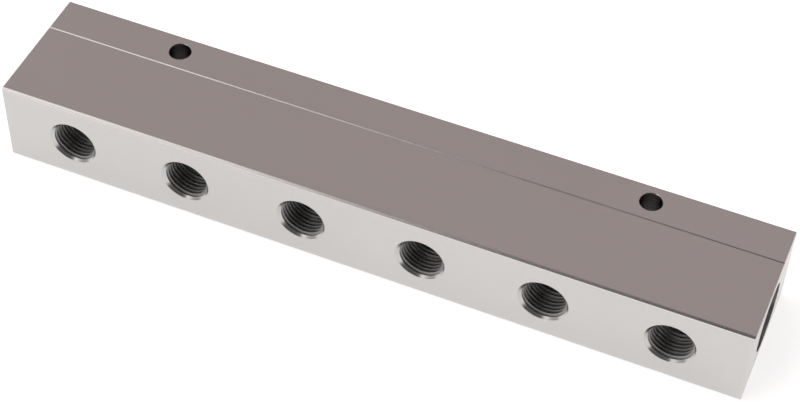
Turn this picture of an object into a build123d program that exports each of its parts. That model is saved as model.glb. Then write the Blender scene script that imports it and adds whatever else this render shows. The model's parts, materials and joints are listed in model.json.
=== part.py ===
from build123d import *

import os
from math import radians, tan

# Air manifold block: a rectangular aluminium bar, sawn from an extrusion. One air gallery runs through it
# from end to end and is tapped as an inlet at both ends. A row of smaller tapped outlets opens into the
# gallery from the front, and two plain bolt holes go down through a strip along the back, which a fine
# V line along the top marks off.
# X runs along the bar and the outlets face -Y. The origin is the middle of the underside. Millimetres.

# Outlets: their count, pitch and distance from the bar's ends set the length of the bar
outlet_count = 6
outlet_pitch = 25
outlet_end_margin = 15

# Section of the bar
bar_depth = 28
bar_height = 19
long_edge_radius = 0.6
sawn_edge_break = 0.1

# Bolt holes along the back, and the V line in front of their strip
bolts_from_back = 4.25
bolt_hole_diameter = 4.5
bolt_hole_edge_break = 0.1
line_from_back = 8.75
line_width = 0.3
line_depth = 0.15

# Pipe threads: 55 degree parallel threads, 1/8 inch at the outlets and 1/4 inch at the inlets
outlet_thread_diameter = 9.728
outlet_threads_per_inch = 28
inlet_thread_diameter = 13.157
inlet_threads_per_inch = 19
outlet_mouth_over_thread = 0.5
outlet_mouth_angle = 90
inlet_depth = 10
inlet_recess_over_thread = 0.5
inlet_recess_depth = 1
drill_point_angle = 118

# Air gallery
gallery_diameter = 10
gallery_from_front = 13.5

# A 55 degree thread cut with rounded crests and roots is this share of its pitch deep
thread_depth_share = 0.640327
inch = 25.4


def bore_radius(thread_diameter, threads_per_inch):
    """Radius of a tapped hole at the crests of its thread."""
    return thread_diameter / 2 - thread_depth_share * inch / threads_per_inch


bar_length = (outlet_count - 1) * outlet_pitch + 2 * outlet_end_margin
front_y = -bar_depth / 2
back_y = bar_depth / 2
gallery_y = front_y + gallery_from_front
gallery_radius = gallery_diameter / 2
# Gallery, inlets and outlets all lie at half the bar's height
axis_height = bar_height / 2

bolt_y = back_y - bolts_from_back
line_y = back_y - line_from_back
# Each bolt hole stands midway between the two outlets nearest its end of the bar
bolt_spacing = (outlet_count - 2) * outlet_pitch

outlet_radius = bore_radius(outlet_thread_diameter, outlet_threads_per_inch)
outlet_mouth_radius = (outlet_thread_diameter + outlet_mouth_over_thread) / 2
inlet_radius = bore_radius(inlet_thread_diameter, inlet_threads_per_inch)
inlet_recess_radius = (inlet_thread_diameter + inlet_recess_over_thread) / 2
inlet_shoulder = (inlet_radius - gallery_radius) / tan(radians(drill_point_angle / 2))


with BuildPart() as manifold_block:
    # The bar: extruded with rounded long edges, sawn to length, and the sawn edges broken
    with BuildSketch(Plane.YZ) as bar_section:
        with Locations((0, bar_height / 2)):
            Rectangle(bar_depth, bar_height)
        fillet(bar_section.vertices(), long_edge_radius)
    extrude(amount=bar_length / 2, both=True)
    chamfer(manifold_block.faces().filter_by(Axis.X).edges(), sawn_edge_break)

    # The fine V line along the top
    with BuildSketch(Plane.YZ) as line_section:
        with BuildLine():
            Polyline(
                (line_y - line_width / 2, bar_height),
                (line_y, bar_height - line_depth),
                (line_y + line_width / 2, bar_height),
                close=True,
            )
        make_face()
    extrude(amount=bar_length / 2, both=True, mode=Mode.SUBTRACT)

    # The gallery, from end to end
    with BuildSketch(Plane.YZ) as gallery_section:
        with Locations((gallery_y, axis_height)):
            Circle(gallery_radius)
    extrude(amount=bar_length / 2, both=True, mode=Mode.SUBTRACT)

    # An inlet in each end: a shallow recess, the tapping size bore, and the drill's shoulder down to the gallery
    for end_x, inward in ((-bar_length / 2, 1), (bar_length / 2, -1)):
        with BuildSketch(Plane.XY.offset(axis_height)) as inlet_half_section:
            with BuildLine():
                Polyline(
                    (end_x, gallery_y),
                    (end_x, gallery_y + inlet_recess_radius),
                    (end_x + inward * inlet_recess_depth, gallery_y + inlet_recess_radius),
                    (end_x + inward * inlet_recess_depth, gallery_y + inlet_radius),
                    (end_x + inward * inlet_depth, gallery_y + inlet_radius),
                    (end_x + inward * (inlet_depth + inlet_shoulder), gallery_y + gallery_radius),
                    (end_x + inward * (inlet_depth + inlet_shoulder), gallery_y),
                    close=True,
                )
            make_face()
        revolve(axis=Axis((0, gallery_y, axis_height), (1, 0, 0)), mode=Mode.SUBTRACT)

    # The outlets: countersunk and drilled at tapping size from the front face into the gallery
    with Locations(Plane((0, front_y, axis_height), x_dir=(1, 0, 0), z_dir=(0, -1, 0))):
        with GridLocations(outlet_pitch, 0, outlet_count, 1):
            CounterSinkHole(
                radius=outlet_radius,
                counter_sink_radius=outlet_mouth_radius,
                depth=gallery_from_front,
                counter_sink_angle=outlet_mouth_angle,
            )

    # The bolt holes, right through, with their rims just broken
    with Locations((0, bolt_y, bar_height)):
        with GridLocations(bolt_spacing, 0, 2, 1):
            Hole(bolt_hole_diameter / 2)
    chamfer(manifold_block.edges(Select.LAST).filter_by(GeomType.CIRCLE), bolt_hole_edge_break)

manifold_block.part.label = "manifold_block"

os.makedirs("parts", exist_ok=True)
export_step(manifold_block.part, "parts/manifold_block.step")
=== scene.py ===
import json
import math

import bmesh
import bpy
from mathutils import Matrix, Vector


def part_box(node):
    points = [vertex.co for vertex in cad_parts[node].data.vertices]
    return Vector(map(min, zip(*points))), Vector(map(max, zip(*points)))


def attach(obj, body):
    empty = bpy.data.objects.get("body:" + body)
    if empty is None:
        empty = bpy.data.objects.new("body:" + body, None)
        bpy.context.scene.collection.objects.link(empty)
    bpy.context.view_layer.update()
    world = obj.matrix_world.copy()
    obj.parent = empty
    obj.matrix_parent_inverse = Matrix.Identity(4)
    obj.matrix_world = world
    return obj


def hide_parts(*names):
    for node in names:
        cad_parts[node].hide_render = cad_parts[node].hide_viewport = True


# Looks of an air manifold block: a satin aluminium bar with countersunk, tapped outlets. Metres.
# The bar's size and the place and bore of every hole come from the frame. What the frame can't say,
# such as the pitch of the threads, is a named value here.

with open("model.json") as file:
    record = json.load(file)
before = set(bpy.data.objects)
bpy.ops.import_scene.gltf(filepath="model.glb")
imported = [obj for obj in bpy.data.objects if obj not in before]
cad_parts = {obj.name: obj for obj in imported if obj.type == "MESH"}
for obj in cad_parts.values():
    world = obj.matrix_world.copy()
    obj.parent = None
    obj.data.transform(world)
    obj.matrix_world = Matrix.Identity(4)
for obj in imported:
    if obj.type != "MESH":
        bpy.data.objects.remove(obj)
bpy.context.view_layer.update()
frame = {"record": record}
record = frame["record"]
mounts = {mount["name"]: mount for mount in record["mounts"]}

MM = 0.001
INCH = 25.4 * MM
X, Z = Vector((1, 0, 0)), Vector((0, 0, 1))

# The bar: two opposite corners of its box, and the form of its edges
low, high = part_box("manifold_block")
LONG_EDGE_RADIUS = 0.6 * MM
LONG_EDGE_STEPS = 8
SAWN_EDGE_BREAK = 0.1 * MM

# The fine V line along the top, in front of the strip for the bolts
LINE_FROM_BACK = 8.75 * MM
LINE_WIDTH = 0.3 * MM
LINE_DEPTH = 0.15 * MM

# Holes. An outlet's countersink and an inlet's recess are wider than the thread by this much all round
MOUTH_OVER_THREAD = 0.25 * MM
INLET_RECESS_DEPTH = 1 * MM
INLET_DRILL_DEPTH = 10 * MM
DRILL_POINT_ANGLE = math.radians(118)
GALLERY_RADIUS = 5 * MM
BOLT_RIM_BREAK = 0.1 * MM

# Thread form: 55 degrees, with the groove's root rounded over three points. Each point is
# (share of the pitch, share of the thread's depth). The first and last lie just inside the bore's wall.
THREADS_PER_INCH = {"outlet": 28, "inlet": 19}
THREAD_DEPTH_SHARE = 0.640327
THREAD_FORM = ((0.0333, -0.15), (0.4167, 0.96), (0.5, 1.0), (0.5833, 0.96), (0.9667, -0.15))
# A tap's first threads are ground away to lead it in, over this many pitches
TAP_LEAD_THREADS = {"outlet": 4, "inlet": 1.5}
# The middle of a tap's flat end, in pitches from where its edge begins
TAP_START_MIDDLE, TAP_END_MIDDLE = 0.5, 0.4

# Cutters are round to this many steps, and reach this far out of the face that they cut
ROUND_STEPS = 96
PAST_FACE = 1 * MM

# Each finish has its darkest and brightest colour, its least and most roughness, and the height and
# strength of its relief

# Finish of the extruded sides. The satin skin scatters some of the light evenly and mirrors the rest,
# and the edges, which rub along the die, only mirror it
SKIN_METALLIC, EDGE_METALLIC = 0.75, 1
SKIN_DARK, SKIN_BRIGHT = (0.65, 0.633, 0.62), (0.67, 0.652, 0.64)
SKIN_ROUGHNESS = (0.19, 0.27)
SKIN_RELIEF = (0.003 * MM, 0.6)
STREAK_LENGTH, STREAK_WIDTH, GRAIN_SIZE = 25 * MM, 0.3 * MM, 0.08 * MM
CLOUDS_PER_METRE = 35

# Finish of the sawn ends, and the middle of the saw's blade
SAWN_DARK, SAWN_BRIGHT = (0.60, 0.588, 0.576), (0.66, 0.647, 0.635)
SAWN_ROUGHNESS = (0.25, 0.37)
SAWN_RELIEF = (0.004 * MM, 0.6)
SAW_FEED = 0.25 * MM
SAW_MIDDLE = (0, -120 * MM, 160 * MM)

# Finishes of the drilled and countersunk walls, and of the threads, which the tap leaves duller. The threads'
# colours are kept dark as painted shade, standing for the shade deep in the tapped holes
WALL_DARK, WALL_BRIGHT = (0.50, 0.49, 0.48), (0.62, 0.61, 0.60)
WALL_ROUGHNESS = (0.19, 0.29)
DRILL_FEED = 0.12 * MM
THREAD_PAINTED_SHADE_DARK, THREAD_PAINTED_SHADE_BRIGHT = (0.30, 0.293, 0.287), (0.40, 0.391, 0.382)
THREAD_ROUGHNESS = (0.5, 0.6)
TAP_FEED = 0.1 * MM
TURNED_RELIEF = (0.003 * MM, 0.5)

# A noise texture mostly keeps between these values, and this much finer noise is laid over it
NOISE_LOW, NOISE_HIGH = 0.3, 0.7
NOISE_DETAIL, GRAIN_DETAIL = 2, 1
NOISE_ROUGHNESS = 0.6


# Nodes

def add_node(tree, kind, **values):
    """A node with its settings and its inputs' values. An input's value may be another node's output.

    In an input's name an underscore stands for a space, and i0, i1 are the first and second input.
    """
    made = tree.nodes.new(kind)
    for name, value in values.items():
        if hasattr(made, name):
            setattr(made, name, value)
            continue
        by_number = name[0] == "i" and name[1:].isdigit()
        socket = made.inputs[int(name[1:])] if by_number else made.inputs[name.replace("_", " ")]
        if isinstance(value, bpy.types.NodeSocket):
            tree.links.new(value, socket)
        else:
            socket.default_value = value
    return made


def mixed_colour(tree, factor, first, second):
    """The first colour where the factor is 0, the second where it is 1. Each is a colour or an output."""
    made = tree.nodes.new("ShaderNodeMix")
    made.data_type = "RGBA"
    tree.links.new(factor, made.inputs["Factor"])
    sockets = {socket.identifier: socket for socket in made.inputs}
    for socket, value in ((sockets["A_Color"], first), (sockets["B_Color"], second)):
        if isinstance(value, bpy.types.NodeSocket):
            tree.links.new(value, socket)
        else:
            socket.default_value = (*value, 1)
    return [socket for socket in made.outputs if socket.identifier == "Result_Color"][0]


def spread(tree, value, least, most):
    """Spreads a noise value, which keeps near its middle, over a wider range."""
    made = add_node(
        tree, "ShaderNodeMapRange",
        Value=value, From_Min=NOISE_LOW, From_Max=NOISE_HIGH, To_Min=least, To_Max=most,
    )
    return made.outputs["Result"]


def change_over(tree, value, start, end):
    """0 on start's side, 1 on end's side, and smooth between them. Start may be the higher one."""
    rising = start < end
    made = add_node(
        tree, "ShaderNodeMapRange", interpolation_type="SMOOTHSTEP",
        Value=value, From_Min=min(start, end), From_Max=max(start, end), To_Min=not rising, To_Max=rising,
    )
    return made.outputs["Result"]


def calculate(tree, operation, first, second=0):
    """What a Math node makes of one or two values, each a number or an output."""
    return add_node(tree, "ShaderNodeMath", operation=operation, i0=first, i1=second).outputs[0]


# Finishes

def start_group(name, inputs, outputs):
    """An empty node group with named inputs and outputs, and where the values come in and go out of it."""
    group = bpy.data.node_groups.new(name, "ShaderNodeTree")
    for direction, named in (("INPUT", inputs), ("OUTPUT", outputs)):
        for label, kind in named.items():
            group.interface.new_socket(label, in_out=direction, socket_type="NodeSocket" + kind)
    given = group.nodes.new("NodeGroupInput").outputs
    put_out = group.nodes.new("NodeGroupOutput").inputs
    return group, given, put_out


def drawn_streaks_group():
    """Fine streaks that a die leaves along an extrusion, over an even fine grain. Both are from 0 to 1."""
    inputs = {"Place": "Vector", "Streak Length": "Float", "Streak Width": "Float", "Grain Size": "Float"}
    group, given, put_out = start_group("drawn_streaks", inputs, {"Streaks": "Float", "Grain": "Float"})
    width = given["Streak Width"]
    stretch = add_node(group, "ShaderNodeCombineXYZ", X=given["Streak Length"], Y=width, Z=width)
    stretched = add_node(
        group, "ShaderNodeVectorMath", operation="DIVIDE", i0=given["Place"], i1=stretch.outputs[0],
    )
    streaks = add_node(
        group, "ShaderNodeTexNoise",
        Vector=stretched.outputs[0], Scale=1, Detail=NOISE_DETAIL, Roughness=NOISE_ROUGHNESS,
    )
    fine = add_node(
        group, "ShaderNodeVectorMath", operation="DIVIDE", i0=given["Place"], i1=given["Grain Size"],
    )
    grain = add_node(group, "ShaderNodeTexNoise", Vector=fine.outputs[0], Scale=1, Detail=GRAIN_DETAIL)
    group.links.new(streaks.outputs["Fac"], put_out["Streaks"])
    group.links.new(grain.outputs["Fac"], put_out["Grain"])
    return group


def tool_marks_group():
    """Rings that a saw, a drill or a tap leaves, one after another along a distance. From 0 to 1."""
    inputs = {"Distance": "Float", "Feed": "Float"}
    group, given, put_out = start_group("tool_marks", inputs, {"Marks": "Float"})
    turns = calculate(group, "DIVIDE", given["Distance"], given["Feed"])
    marks = add_node(
        group, "ShaderNodeTexNoise", noise_dimensions="1D",
        W=turns, Scale=1, Detail=NOISE_DETAIL, Roughness=NOISE_ROUGHNESS,
    )
    group.links.new(marks.outputs["Fac"], put_out["Marks"])
    return group


DRAWN_STREAKS = drawn_streaks_group()
TOOL_MARKS = tool_marks_group()


def start_finish(name, metallic=1):
    """A new metal with its nodes and its shader, and the output that tells where on the block a point is."""
    material = bpy.data.materials.new(name)
    material.use_nodes = True
    tree = material.node_tree
    shader = tree.nodes["Principled BSDF"]
    shader.inputs["Metallic"].default_value = metallic
    place = tree.nodes.new("ShaderNodeTexCoord").outputs["Object"]
    return material, tree, shader, place


def add_relief(tree, shader, pattern, relief):
    """Raises the surface where the pattern is high."""
    height, strength = relief
    bump = add_node(tree, "ShaderNodeBump", Strength=strength, Distance=height, Height=pattern)
    tree.links.new(bump.outputs[0], shader.inputs["Normal"])


def satin_extrusion(name, metallic):
    """Bare aluminium as it comes from the die: satin, with faint streaks along it and a fine grain."""
    material, tree, shader, place = start_finish(name, metallic)
    surface = add_node(
        tree, "ShaderNodeGroup", node_tree=DRAWN_STREAKS,
        Place=place, Streak_Length=STREAK_LENGTH, Streak_Width=STREAK_WIDTH, Grain_Size=GRAIN_SIZE,
    )
    streaks, grain = surface.outputs["Streaks"], surface.outputs["Grain"]
    clouds = add_node(tree, "ShaderNodeTexNoise", Vector=place, Scale=CLOUDS_PER_METRE, Detail=NOISE_DETAIL)
    cloudy = spread(tree, clouds.outputs["Fac"], 0, 1)
    tree.links.new(mixed_colour(tree, cloudy, SKIN_DARK, SKIN_BRIGHT), shader.inputs["Base Color"])
    tree.links.new(spread(tree, streaks, *SKIN_ROUGHNESS), shader.inputs["Roughness"])
    add_relief(tree, shader, calculate(tree, "ADD", streaks, grain), SKIN_RELIEF)
    return material


def tooled_finish(name, distance_from, feed, colours, roughness, relief):
    """A cut surface, with the tool's rings one after another along the distance that distance_from gives."""
    material, tree, shader, place = start_finish(name)
    surface = add_node(
        tree, "ShaderNodeGroup", node_tree=TOOL_MARKS, Distance=distance_from(tree, place), Feed=feed,
    )
    marks = surface.outputs["Marks"]
    tree.links.new(mixed_colour(tree, marks, *colours), shader.inputs["Base Color"])
    tree.links.new(spread(tree, marks, *roughness), shader.inputs["Roughness"])
    add_relief(tree, shader, marks, relief)
    return material


def sawn_end():
    """The bar's sawn ends: bright, with the long arcs of the saw's blade."""

    def from_saw(tree, place):
        measure = add_node(tree, "ShaderNodeVectorMath", operation="DISTANCE", i0=place, i1=SAW_MIDDLE)
        return measure.outputs["Value"]

    colours = (SAWN_DARK, SAWN_BRIGHT)
    return tooled_finish("sawn_end", from_saw, SAW_FEED, colours, SAWN_ROUGHNESS, SAWN_RELIEF)


def turned_wall(name, axis, feed, colours, roughness):
    """A drilled, countersunk or tapped wall, with the tool's rings along one axis."""

    def along_axis(tree, place):
        return add_node(tree, "ShaderNodeSeparateXYZ", Vector=place).outputs[axis]

    return tooled_finish(f"{name}_{axis.lower()}", along_axis, feed, colours, roughness, TURNED_RELIEF)


SATIN = satin_extrusion("satin_skin", SKIN_METALLIC)
DRAWN_EDGE = satin_extrusion("drawn_edge", EDGE_METALLIC)
SAWN = sawn_end()
WALL = {
    axis: turned_wall("wall", axis, DRILL_FEED, (WALL_DARK, WALL_BRIGHT), WALL_ROUGHNESS)
    for axis in "XYZ"
}
# The threads' finish, whose dark colours are painted shade for the deep holes
THREAD_PAINTED_SHADE = {
    axis: turned_wall("thread", axis, TAP_FEED, (THREAD_PAINTED_SHADE_DARK, THREAD_PAINTED_SHADE_BRIGHT), THREAD_ROUGHNESS)
    for axis in "XY"
}


# Shapes

def mesh_object(name, build, *materials):
    """An object whose mesh is made by build(bm), with its faces turned outwards."""
    bm = bmesh.new()
    build(bm)
    bmesh.ops.recalc_face_normals(bm, faces=bm.faces)
    mesh = bpy.data.meshes.new(name)
    bm.to_mesh(mesh)
    bm.free()
    for material in materials:
        mesh.materials.append(material)
    made = bpy.data.objects.new(name, mesh)
    bpy.context.scene.collection.objects.link(made)
    return made


def bridge(bm, first, second):
    """A band of faces between two closed rings with as many points each."""
    count = len(first)
    made = []
    for i in range(count):
        j = (i + 1) % count
        made.append(bm.faces.new((first[i], first[j], second[j], second[i])))
    return made


def spokes(along):
    """Unit vectors square to a hole's axis, one for each step round it, right-handed with the axis."""
    side = along.orthogonal().normalized()
    up = along.cross(side)
    angles = [2 * math.pi * step / ROUND_STEPS for step in range(ROUND_STEPS)]
    return [side * math.cos(angle) + up * math.sin(angle) for angle in angles]


def rounded_section(x, inset):
    """Points round the bar's section at x, drawn in from the bar's sides by inset."""
    radius = LONG_EDGE_RADIUS - inset
    points = []
    for quarter, (y, z) in enumerate(((high.y, high.z), (low.y, high.z), (low.y, low.z), (high.y, low.z))):
        centre_y = y - math.copysign(LONG_EDGE_RADIUS, y)
        centre_z = z - math.copysign(LONG_EDGE_RADIUS, z - (low.z + high.z) / 2)
        for step in range(LONG_EDGE_STEPS + 1):
            angle = (quarter + step / LONG_EDGE_STEPS) * math.pi / 2
            points.append((x, centre_y + radius * math.cos(angle), centre_z + radius * math.sin(angle)))
    return points


SKIN_SLOT, SAWN_SLOT, EDGE_SLOT = 0, 1, 2


def bar():
    """The extruded bar, sawn to length, with its long edges rounded and its sawn edges broken."""

    def build(bm):
        rings = []
        for x, inset in (
            (low.x, SAWN_EDGE_BREAK),
            (low.x + SAWN_EDGE_BREAK, 0),
            (high.x - SAWN_EDGE_BREAK, 0),
            (high.x, SAWN_EDGE_BREAK),
        ):
            rings.append([bm.verts.new(p) for p in rounded_section(x, inset)])
        sawn = bridge(bm, rings[0], rings[1])
        # A section's points go round one long edge after another, and the last of each starts a flat side
        for step, face in enumerate(bridge(bm, rings[1], rings[2])):
            if step % (LONG_EDGE_STEPS + 1) < LONG_EDGE_STEPS:
                face.material_index = EDGE_SLOT
        sawn += bridge(bm, rings[2], rings[3])
        sawn += [bm.faces.new(rings[0]), bm.faces.new(rings[3])]
        for face in sawn:
            face.material_index = SAWN_SLOT

    return mesh_object("manifold_bar", build, SATIN, SAWN, DRAWN_EDGE)


def line_cutter():
    """A long wedge, point down, that cuts the V line along the top."""

    def build(bm):
        y = high.y - LINE_FROM_BACK
        half_width = LINE_WIDTH / 2 * (LINE_DEPTH + PAST_FACE) / LINE_DEPTH
        ends = []
        for x in (low.x - PAST_FACE, high.x + PAST_FACE):
            section = (
                (x, y, high.z - LINE_DEPTH),
                (x, y + half_width, high.z + PAST_FACE),
                (x, y - half_width, high.z + PAST_FACE),
            )
            ends.append([bm.verts.new(p) for p in section])
        bridge(bm, *ends)
        bm.faces.new(ends[0])
        bm.faces.new(ends[1])

    return mesh_object("line_cutter", build, DRAWN_EDGE)


def turned_cutter(name, start, along, outline, material):
    """A turned solid about the line from start: outline lists (distance along it, radius)."""

    def build(bm):
        rings = []
        for distance, radius in outline:
            rings.append([bm.verts.new(start + along * distance + spoke * radius) for spoke in spokes(along)])
        for first, second in zip(rings, rings[1:]):
            bridge(bm, first, second)
        bm.faces.new(rings[0])
        bm.faces.new(rings[-1])

    return mesh_object(name, build, material)


def thread_pitch(kind):
    return INCH / THREADS_PER_INCH[kind]


def thread_depth(kind):
    return THREAD_DEPTH_SHARE * thread_pitch(kind)


def tap(name, start, along, reach, crest_radius, kind, material):
    """A right-hand tap from start, reach long. Its grooves stand out of the bore and fade at its far end."""
    pitch, depth = thread_pitch(kind), thread_depth(kind)
    lead = TAP_LEAD_THREADS[kind] * pitch
    floor_share = THREAD_FORM[0][1]
    points = len(THREAD_FORM)
    rows = points * round(reach / pitch)

    def radius_at(distance, share):
        fade = min(max((reach - distance) / lead, 0), 1)
        return crest_radius + depth * (floor_share + (share - floor_share) * fade)

    def build(bm):
        columns = []
        for step, spoke in enumerate(spokes(along)):
            column = []
            # The first column runs on by one pitch, where the last column joins it
            for row in range(rows + (points if step == 0 else 0)):
                along_pitch, share = THREAD_FORM[row % points]
                distance = pitch * (row // points + along_pitch + step / ROUND_STEPS)
                place = start + along * distance + spoke * radius_at(distance, share)
                column.append(bm.verts.new(place))
            columns.append(column)
        for step, column in enumerate(columns):
            following = columns[step + 1] if step + 1 < ROUND_STEPS else columns[0][points:]
            for row in range(rows - 1):
                bm.faces.new((column[row], following[row], following[row + 1], column[row + 1]))
        # Each end is closed by a fan from the axis to the edge, which steps back by one pitch
        first_edge = [column[0] for column in columns] + columns[0][points:0:-1]
        last_edge = [column[rows - 1] for column in columns] + columns[0][rows + points - 1 : rows - 1 : -1]
        ends = ((first_edge, TAP_START_MIDDLE), (last_edge, rows / points + TAP_END_MIDDLE))
        for edge, pitches in ends:
            middle = bm.verts.new(start + along * pitch * pitches)
            for a, b in zip(edge, edge[1:] + edge[:1]):
                bm.faces.new((a, b, middle))

    return mesh_object(name, build, material)


def cut(block, cutter):
    """Takes the cutter out of the block, gives the cut faces the cutter's finish, and removes the cutter."""
    step = block.modifiers.new("cut", "BOOLEAN")
    step.operation = "DIFFERENCE"
    step.solver = "MANIFOLD"
    step.material_mode = "TRANSFER"
    step.object = cutter
    with bpy.context.temp_override(object=block):
        bpy.ops.object.modifier_apply(modifier=step.name)
    bpy.data.objects.remove(cutter)


def bore_of(mount):
    """(a point on the bore's axis, the direction out of its mouth, its crests' radius)."""
    return Vector(mount["pos_m"]), Vector(mount["axis"]), mount["dims"]["r_mm"] * MM


def gallery_cutters():
    """The gallery with the drilled and recessed inlet at each end, and the inlets' two taps."""
    centre, _, crest = bore_of(mounts["inlet_right"])
    start = Vector((0, centre.y, centre.z))
    recess = crest + thread_depth("inlet") + MOUTH_OVER_THREAD
    shoulder = (crest - GALLERY_RADIUS) / math.tan(DRILL_POINT_ANGLE / 2)
    half = (
        (high.x - INLET_DRILL_DEPTH - shoulder, GALLERY_RADIUS),
        (high.x - INLET_DRILL_DEPTH, crest),
        (high.x - INLET_RECESS_DEPTH, crest),
        (high.x - INLET_RECESS_DEPTH, recess),
        (high.x + PAST_FACE, recess),
    )
    outline = [(-x, radius) for x, radius in reversed(half)] + list(half)
    yield turned_cutter("gallery_cutter", start, X, outline, WALL["X"])
    for name in ("inlet_left", "inlet_right"):
        outward = Vector(mounts[name]["axis"])
        face = Vector((math.copysign(high.x, outward.x), centre.y, centre.z))
        reach = INLET_DRILL_DEPTH + PAST_FACE - thread_pitch("inlet") / 2
        yield tap(name + "_tap", face + outward * PAST_FACE, -outward, reach, crest, "inlet", THREAD_PAINTED_SHADE["X"])


def outlet_cutters():
    """Each outlet's drill with its countersink, up to the gallery's axis, and its tap, up to its wall."""
    depth = mounts["inlet_right"]["pos_m"][1] - low.y
    reach = depth + PAST_FACE - GALLERY_RADIUS
    mouth = thread_depth("outlet") + MOUTH_OVER_THREAD

    for name in sorted(mounts):
        if not name.startswith("outlet"):
            continue
        place, outward, crest = bore_of(mounts[name])
        face = Vector((place.x, low.y, place.z))
        outline = ((-PAST_FACE, crest + mouth + PAST_FACE), (mouth, crest), (depth, crest))
        yield turned_cutter(name + "_drill", face, -outward, outline, WALL["Y"])
        yield tap(name + "_tap", face + outward * PAST_FACE, -outward, reach, crest, "outlet", THREAD_PAINTED_SHADE["Y"])


def bolt_hole_cutters():
    """The two bolt holes' drills, with a countersink that just breaks each rim."""
    pattern = mounts["bolt_holes"]
    radius = pattern["dims"]["hole_r_mm"] * MM
    spacing = pattern["dims"]["spacing_x_mm"] * MM
    centre = Vector(pattern["pos_m"])
    wide = radius + BOLT_RIM_BREAK + PAST_FACE
    outline = (
        (low.z - PAST_FACE, wide),
        (low.z + BOLT_RIM_BREAK, radius),
        (high.z - BOLT_RIM_BREAK, radius),
        (high.z + PAST_FACE, wide),
    )
    for side in (-1, 1):
        foot = Vector((centre.x + side * spacing / 2, centre.y, 0))
        yield turned_cutter("bolt_hole_drill", foot, Z, outline, WALL["Z"])


SHARP_ANGLE = math.radians(35)


def smooth_by_angle(block):
    """Smooth shading that keeps flat faces flat and crisp edges crisp."""
    block.data.shade_smooth()
    block.data.set_sharp_from_angle(angle=SHARP_ANGLE)
    weigh = block.modifiers.new("weigh", "WEIGHTED_NORMAL")
    weigh.keep_sharp = True
    with bpy.context.temp_override(object=block):
        bpy.ops.object.modifier_apply(modifier=weigh.name)


def manifold_block():
    """The whole block, machined from the bar."""
    block = bar()
    for cutters in (gallery_cutters(), outlet_cutters(), bolt_hole_cutters(), (line_cutter(),)):
        for cutter in cutters:
            cut(block, cutter)
    smooth_by_angle(block)
    block.name = "block"
    return block


block = manifold_block()
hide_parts("manifold_block")
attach(block, "root")


# Camera
CAMERA_PLACE = Vector((99.16, -246.33, 304.49)) * MM
CAMERA_FORWARD = Vector((-0.24286, 0.6194, -0.74657))
CAMERA_RIGHT = Vector((0.92134, 0.38811, 0.02229))
CAMERA_LENS, CAMERA_SENSOR_WIDTH = 90.877, 36
CAMERA_CLIP_START = 10 * MM


def place_camera():
    camera = bpy.data.objects.new("camera", bpy.data.cameras.new("camera"))
    bpy.context.scene.collection.objects.link(camera)
    camera.data.lens = CAMERA_LENS
    camera.data.sensor_width = CAMERA_SENSOR_WIDTH
    camera.data.sensor_fit = "HORIZONTAL"
    camera.data.clip_start = CAMERA_CLIP_START
    forward = CAMERA_FORWARD.normalized()
    up = CAMERA_RIGHT.cross(forward).normalized()
    right = forward.cross(up)
    turned = Matrix((right, up, -forward)).transposed().to_4x4()
    camera.matrix_world = Matrix.Translation(CAMERA_PLACE) @ turned
    bpy.context.scene.camera = camera


place_camera()

# Studio: a white floor, lit up to a little ahead of the bar, an even light on it from above, and around it
# a white horizon under a dim, warm ceiling. Its front is unlit but for a soft box on the left
FLOOR_REACH = 4.0
FLOOR_COLOUR = (0.93, 0.93, 0.93)
FLOOR_LIGHT_STRENGTH = 0.6
FLOOR_LIGHT_ANGLE = math.radians(100)

# How much whiter the floor is seen by the camera, and in a mirror as far forward as its lit part reaches
FLOOR_SEEN_WHITER = 0.62
FLOOR_MIRRORED_WHITER = 0.63
LIT_FLOOR_FRONT_EDGE = (-300 * MM, -100 * MM)
# Under the bar, from this far in from its sides, the floor keeps only this share of that
SHADE_INSET = 1.5 * MM
SHADE_SHARE = 0.5

# Colours of the horizon, the ceiling, the front, the soft box and the dim light to the left of the box
HORIZON = (1.0, 1.0, 1.0)
CEILING = (0.383, 0.317, 0.317)
UNLIT_FRONT = (0.12, 0.12, 0.12)
SOFT_BOX = (1.35, 1.315, 1.30)
BESIDE_SOFT_BOX = (0.50, 0.49, 0.48)

# Where they change over, as shares of a direction's x, y or z
ABOVE_HORIZON = (-0.01, 0.01)
FRONT_FROM = (0.42, 0.12)
SOFT_BOX_RIGHT_EDGE = (-0.25, -0.31)
SOFT_BOX_LEFT_EDGE = (-0.42, -0.72)
UNLIT_RIGHT_EDGE = (0.80, 0.90)


def floor_whiter(tree):
    """How much whiter the floor is seen by the camera itself, and in a mirror or through glass."""
    path = tree.nodes.new("ShaderNodeLightPath").outputs
    place = tree.nodes.new("ShaderNodeTexCoord").outputs["Object"]
    x, y, _ = add_node(tree, "ShaderNodeSeparateXYZ", Vector=place).outputs
    mirrored = calculate(tree, "MAXIMUM", path["Is Glossy Ray"], path["Is Transmission Ray"])
    lit = calculate(tree, "MULTIPLY", mirrored, change_over(tree, y, *LIT_FLOOR_FRONT_EDGE))
    to_camera = calculate(tree, "MULTIPLY", path["Is Camera Ray"], FLOOR_SEEN_WHITER)
    to_mirror = calculate(tree, "MULTIPLY", lit, FLOOR_MIRRORED_WHITER)
    # The floor under the bar, which shows in the bolt holes, lies in shade
    outside_ends = calculate(tree, "GREATER_THAN", calculate(tree, "ABSOLUTE", x), high.x - SHADE_INSET)
    outside_sides = calculate(tree, "GREATER_THAN", calculate(tree, "ABSOLUTE", y), high.y - SHADE_INSET)
    outside = calculate(tree, "MAXIMUM", outside_ends, outside_sides)
    share = calculate(tree, "MAXIMUM", outside, SHADE_SHARE)
    return calculate(tree, "MULTIPLY", share, calculate(tree, "ADD", to_camera, to_mirror))


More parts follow.
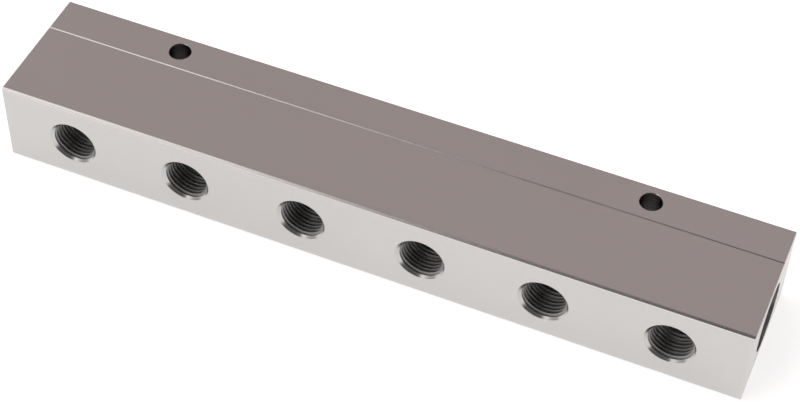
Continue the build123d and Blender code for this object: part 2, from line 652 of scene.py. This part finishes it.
def floor():
    """A white floor at the bar's underside, which keeps the bar's shadow."""

    def build(bm):
        corners = ((-1, -1), (1, -1), (1, 1), (-1, 1))
        bm.faces.new([bm.verts.new((FLOOR_REACH * x, FLOOR_REACH * y, low.z)) for x, y in corners])

    material = bpy.data.materials.new("white_floor")
    material.use_nodes = True
    tree = material.node_tree
    shader = tree.nodes["Principled BSDF"]
    shader.inputs["Base Color"].default_value = (*FLOOR_COLOUR, 1)
    shader.inputs["Roughness"].default_value = 1
    shader.inputs["Specular IOR Level"].default_value = 0
    shader.inputs["Emission Color"].default_value = (1, 1, 1, 1)
    tree.links.new(floor_whiter(tree), shader.inputs["Emission Strength"])
    mesh_object("floor", build, material)


def floor_light():
    """An even light from above that brightens the floor and isn't mirrored in the metal."""
    light = bpy.data.lights.new("floor_light", "SUN")
    light.angle = FLOOR_LIGHT_ANGLE
    light.energy = FLOOR_LIGHT_STRENGTH
    lamp = bpy.data.objects.new("floor_light", light)
    bpy.context.scene.collection.objects.link(lamp)
    lamp.visible_glossy = False


def studio_world():
    """The horizon, ceiling, unlit front and soft box, each where a direction's x, y and z put it."""
    world = bpy.data.worlds.new("studio")
    bpy.context.scene.world = world
    world.use_nodes = True
    tree = world.node_tree
    direction = tree.nodes.new("ShaderNodeTexCoord").outputs["Generated"]
    x, y, z = add_node(tree, "ShaderNodeSeparateXYZ", Vector=direction).outputs
    front = change_over(tree, y, *FRONT_FROM)
    front_left = calculate(tree, "MULTIPLY", front, change_over(tree, x, *SOFT_BOX_RIGHT_EDGE))
    right = mixed_colour(tree, change_over(tree, x, *UNLIT_RIGHT_EDGE), UNLIT_FRONT, CEILING)
    left = mixed_colour(tree, change_over(tree, x, *SOFT_BOX_LEFT_EDGE), SOFT_BOX, BESIDE_SOFT_BOX)
    sky = mixed_colour(tree, front, CEILING, right)
    sky = mixed_colour(tree, front_left, sky, left)
    around = mixed_colour(tree, change_over(tree, z, *ABOVE_HORIZON), HORIZON, sky)
    # The camera itself sees only white behind the floor
    by_camera = tree.nodes.new("ShaderNodeLightPath").outputs["Is Camera Ray"]
    tree.links.new(mixed_colour(tree, by_camera, around, HORIZON), tree.nodes["Background"].inputs["Color"])


floor()
floor_light()
studio_world()
bpy.context.scene.view_settings.view_transform = "Standard"
